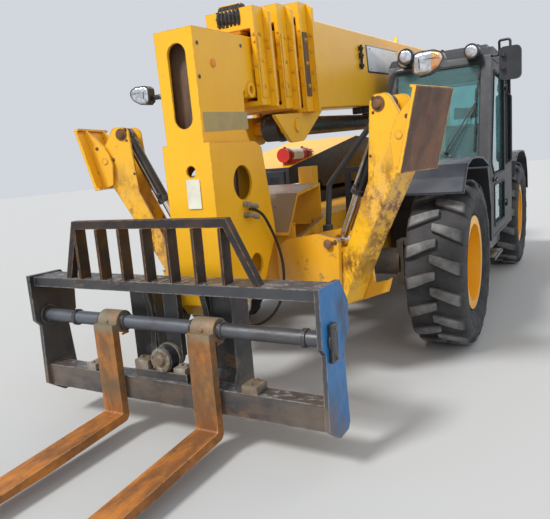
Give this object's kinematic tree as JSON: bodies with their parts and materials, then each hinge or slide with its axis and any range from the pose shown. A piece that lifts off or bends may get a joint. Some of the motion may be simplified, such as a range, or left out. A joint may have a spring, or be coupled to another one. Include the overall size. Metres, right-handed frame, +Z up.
{
  "type": "telescopic handler",
  "caption": "Telescopic handler with a nested lifting boom, a tilting carriage with hinged forks, swing-down front stabilisers, side cab and four steered wheels.",
  "frame": {"origin": "on the ground, at the middle of the machine's length and width", "axes": "+X to the machine's left (cab side), -Y forward (towards the forks), +Z up"},
  "size_m": [2.879, 7.517, 2.667],
  "materials": {
    "yellow_paint": "gloss, scratched",
    "chassis_yellow": "gloss, dusty",
    "bonnet_yellow": "gloss moulded cover",
    "rim_yellow": "gloss",
    "tyre_rubber": "dusty rubber",
    "black_paint": "satin, scraped",
    "carriage_paint": "scraped to steel and rust",
    "fork_steel": "rusty, with worn yellow paint",
    "shaft_steel": "worn",
    "chrome_rod": "polished",
    "cab_black": "satin",
    "glass": "tinted",
    "black_plastic": "moulded",
    "seat_cover": "woven",
    "lamp_body": "clear lens on black body",
    "red_paint": "gloss",
    "mirror_black": "moulded"
  },
  "bodies": {
    "chassis": {"chassis_frame": "chassis_yellow", "stabiliser_frame": "chassis_yellow", "front_axle": "black_paint", "rear_axle": "black_paint", "cab_frame": "cab_black", "cab_glass": "glass", "cab_seat": "seat_cover", "cab_dash": "black_plastic", "cab_roof": "bonnet_yellow", "engine_block": "black_paint", "engine_tray": "black_paint", "side_tank": "black_paint", "counterweight": "chassis_yellow", "front_fenders": "black_plastic", "rear_fenders": "black_plastic", "lamp_stalks": "black_paint", "lamps": "lamp_body", "mirror": "mirror_black"},
    "boom": {"boom_outer": "yellow_paint"},
    "boom_second": {"boom_second": "yellow_paint"},
    "boom_third": {"boom_third": "yellow_paint"},
    "boom_inner": {"boom_inner": "yellow_paint", "boom_nose": "yellow_paint"},
    "carriage": {"carriage_frame": "carriage_paint", "fork_shaft": "shaft_steel", "load_rest": "carriage_paint"},
    "fork_left": {"fork_left": "fork_steel"},
    "fork_right": {"fork_right": "fork_steel"},
    "lift_barrel": {"lift_barrel": "black_paint"},
    "lift_rod": {"lift_rod": "chrome_rod"},
    "cab_door": {"cab_door": "cab_black", "door_glass": "glass"},
    "steering_wheel": {"steering_wheel": "black_plastic"},
    "bonnet": {"engine_bonnet": "bonnet_yellow", "fire_bottle": "red_paint"},
    "stabiliser_leg_left": {"stabiliser_leg_left": "yellow_paint"},
    "stabiliser_barrel_left": {"stabiliser_barrel_left": "black_paint"},
    "stabiliser_rod_left": {"stabiliser_rod_left": "chrome_rod"},
    "stabiliser_foot_left": {"stabiliser_foot_left": "yellow_paint"},
    "knuckle_front_left": {"knuckle_front_left": "black_paint"},
    "wheel_front_left": {"wheel_rim_front_left": "rim_yellow", "wheel_tyre_front_left": "tyre_rubber"},
    "knuckle_rear_left": {"knuckle_rear_left": "black_paint"},
    "wheel_rear_left": {"wheel_rim_rear_left": "rim_yellow", "wheel_tyre_rear_left": "tyre_rubber"},
    "stabiliser_leg_right": {"stabiliser_leg_right": "yellow_paint"},
    "stabiliser_barrel_right": {"stabiliser_barrel_right": "black_paint"},
    "stabiliser_rod_right": {"stabiliser_rod_right": "chrome_rod"},
    "stabiliser_foot_right": {"stabiliser_foot_right": "yellow_paint"},
    "knuckle_front_right": {"knuckle_front_right": "black_paint"},
    "wheel_front_right": {"wheel_rim_front_right": "rim_yellow", "wheel_tyre_front_right": "tyre_rubber"},
    "knuckle_rear_right": {"knuckle_rear_right": "black_paint"},
    "wheel_rear_right": {"wheel_rim_rear_right": "rim_yellow", "wheel_tyre_rear_right": "tyre_rubber"}
  },
  "joints": [
    {"name": "boom_lift", "type": "hinge", "parent": "chassis", "child": "boom", "pos_m": [0, 3.1185, 2.3], "axis": [-1, 0, 0], "range_deg": [0, 70]},
    {"name": "boom_extend", "type": "slide", "parent": "boom", "child": "boom_second", "axis": [0, -0.9982, -0.0602], "range_m": [0, 3.2]},
    {"name": "boom_extend_third", "type": "slide", "parent": "boom_second", "child": "boom_third", "axis": [0, -0.9982, -0.0602], "range_m": [0, 3.2]},
    {"name": "boom_extend_inner", "type": "slide", "parent": "boom_third", "child": "boom_inner", "axis": [0, -0.9982, -0.0602], "range_m": [0, 3.2]},
    {"name": "carriage_tilt", "type": "hinge", "parent": "boom_inner", "child": "carriage", "pos_m": [0, -2.0415, 0.672], "axis": [1, 0, 0], "range_deg": [-15, 75]},
    {"name": "fork_swing_left", "type": "hinge", "parent": "carriage", "child": "fork_left", "pos_m": [0.245, -2.4415, 0.655], "axis": [-1, 0, 0], "range_deg": [0, 45]},
    {"name": "fork_swing_right", "type": "hinge", "parent": "carriage", "child": "fork_right", "pos_m": [-0.395, -2.4415, 0.655], "axis": [-1, 0, 0], "range_deg": [0, 45]},
    {"name": "lift_barrel_swing", "type": "hinge", "parent": "boom", "child": "lift_barrel", "pos_m": [0, -1.1215, 1.69], "axis": [-1, 0, 0], "range_deg": [0, 5.61]},
    {"name": "lift_rod_travel", "type": "slide", "parent": "lift_barrel", "child": "lift_rod", "axis": [0, 0.9992, 0.0401], "range_m": [0, 0.9407]},
    {"name": "steer_front_left", "type": "hinge", "parent": "chassis", "child": "knuckle_front_left", "pos_m": [0.76, -0.3815, 0.612], "axis": [0, 0, 1], "range_deg": [-28, 28]},
    {"name": "spin_front_left", "type": "hinge", "parent": "knuckle_front_left", "child": "wheel_front_left", "pos_m": [1.02, -0.3815, 0.612], "axis": [1, 0, 0], "continuous": true},
    {"name": "steer_front_right", "type": "hinge", "parent": "chassis", "child": "knuckle_front_right", "pos_m": [-0.76, -0.3815, 0.612], "axis": [0, 0, 1], "range_deg": [-28, 28]},
    {"name": "spin_front_right", "type": "hinge", "parent": "knuckle_front_right", "child": "wheel_front_right", "pos_m": [-1.02, -0.3815, 0.612], "axis": [1, 0, 0], "continuous": true},
    {"name": "steer_rear_left", "type": "hinge", "parent": "chassis", "child": "knuckle_rear_left", "pos_m": [0.76, 2.7385, 0.612], "axis": [0, 0, 1], "range_deg": [-28, 28]},
    {"name": "spin_rear_left", "type": "hinge", "parent": "knuckle_rear_left", "child": "wheel_rear_left", "pos_m": [1.02, 2.7385, 0.612], "axis": [1, 0, 0], "continuous": true},
    {"name": "steer_rear_right", "type": "hinge", "parent": "chassis", "child": "knuckle_rear_right", "pos_m": [-0.76, 2.7385, 0.612], "axis": [0, 0, 1], "range_deg": [-28, 28]},
    {"name": "spin_rear_right", "type": "hinge", "parent": "knuckle_rear_right", "child": "wheel_rear_right", "pos_m": [-1.02, 2.7385, 0.612], "axis": [1, 0, 0], "continuous": true},
    {"name": "door_swing", "type": "hinge", "parent": "chassis", "child": "cab_door", "pos_m": [1.214, 1.3225, 1.4], "axis": [0, 0, 1], "range_deg": [0, 90]},
    {"name": "steering_turn", "type": "hinge", "parent": "chassis", "child": "steering_wheel", "pos_m": [0.77, 0.8185, 1.3], "axis": [0, 0.5, 0.866], "continuous": true},
    {"name": "bonnet_lift", "type": "hinge", "parent": "chassis", "child": "bonnet", "pos_m": [-0.75, 1.9585, 1.56], "axis": [-1, 0, 0], "range_deg": [0, 50]},
    {"name": "leg_swing_left", "type": "hinge", "parent": "chassis", "child": "stabiliser_leg_left", "pos_m": [0.52, -1.4415, 0.64], "axis": [0.2588, 0.9659, 0], "range_deg": [0, 88]},
    {"name": "ram_swing_left", "type": "hinge", "parent": "stabiliser_leg_left", "child": "stabiliser_barrel_left", "pos_m": [0.9508, -1.55693, 1.724], "axis": [0.2588, 0.9659, 0], "range_deg": [0, 11.87]},
    {"name": "ram_travel_left", "type": "slide", "parent": "stabiliser_barrel_left", "child": "stabiliser_rod_left", "axis": [-0.4129, 0.1106, -0.904], "range_m": [0, 0.3912]},
    {"name": "foot_tilt_left", "type": "hinge", "parent": "stabiliser_leg_left", "child": "stabiliser_foot_left", "pos_m": [1.08024, -1.59162, 1.55], "axis": [0.2588, 0.9659, 0], "range_deg": [-12, 12]},
    {"name": "leg_swing_right", "type": "hinge", "parent": "chassis", "child": "stabiliser_leg_right", "pos_m": [-0.52, -1.4415, 0.64], "axis": [0.2588, -0.9659, 0], "range_deg": [0, 88]},
    {"name": "ram_swing_right", "type": "hinge", "parent": "stabiliser_leg_right", "child": "stabiliser_barrel_right", "pos_m": [-0.9508, -1.55693, 1.724], "axis": [0.2588, -0.9659, 0], "range_deg": [0, 11.87]},
    {"name": "ram_travel_right", "type": "slide", "parent": "stabiliser_barrel_right", "child": "stabiliser_rod_right", "axis": [0.4129, 0.1106, -0.904], "range_m": [0, 0.3912]},
    {"name": "foot_tilt_right", "type": "hinge", "parent": "stabiliser_leg_right", "child": "stabiliser_foot_right", "pos_m": [-1.08024, -1.59162, 1.55], "axis": [0.2588, -0.9659, 0], "range_deg": [-12, 12]}
  ],
  "couplings": [
    {"joint": "boom_extend_third", "follows": "boom_extend", "ratio": 1},
    {"joint": "boom_extend_inner", "follows": "boom_extend", "ratio": 1},
    {"joint": "lift_barrel_swing", "follows": "boom_lift", "ratio": 0.080027},
    {"joint": "lift_rod_travel", "follows": "boom_lift", "m_per_rad": 0.76916},
    {"joint": "steer_front_right", "follows": "steer_front_left", "ratio": 1},
    {"joint": "steer_rear_right", "follows": "steer_rear_left", "ratio": 1},
    {"joint": "ram_swing_left", "follows": "leg_swing_left", "ratio": 0.13477},
    {"joint": "ram_travel_left", "follows": "leg_swing_left", "m_per_rad": 0.25408},
    {"joint": "ram_swing_right", "follows": "leg_swing_right", "ratio": 0.13477},
    {"joint": "ram_travel_right", "follows": "leg_swing_right", "m_per_rad": 0.25408}
  ]
}
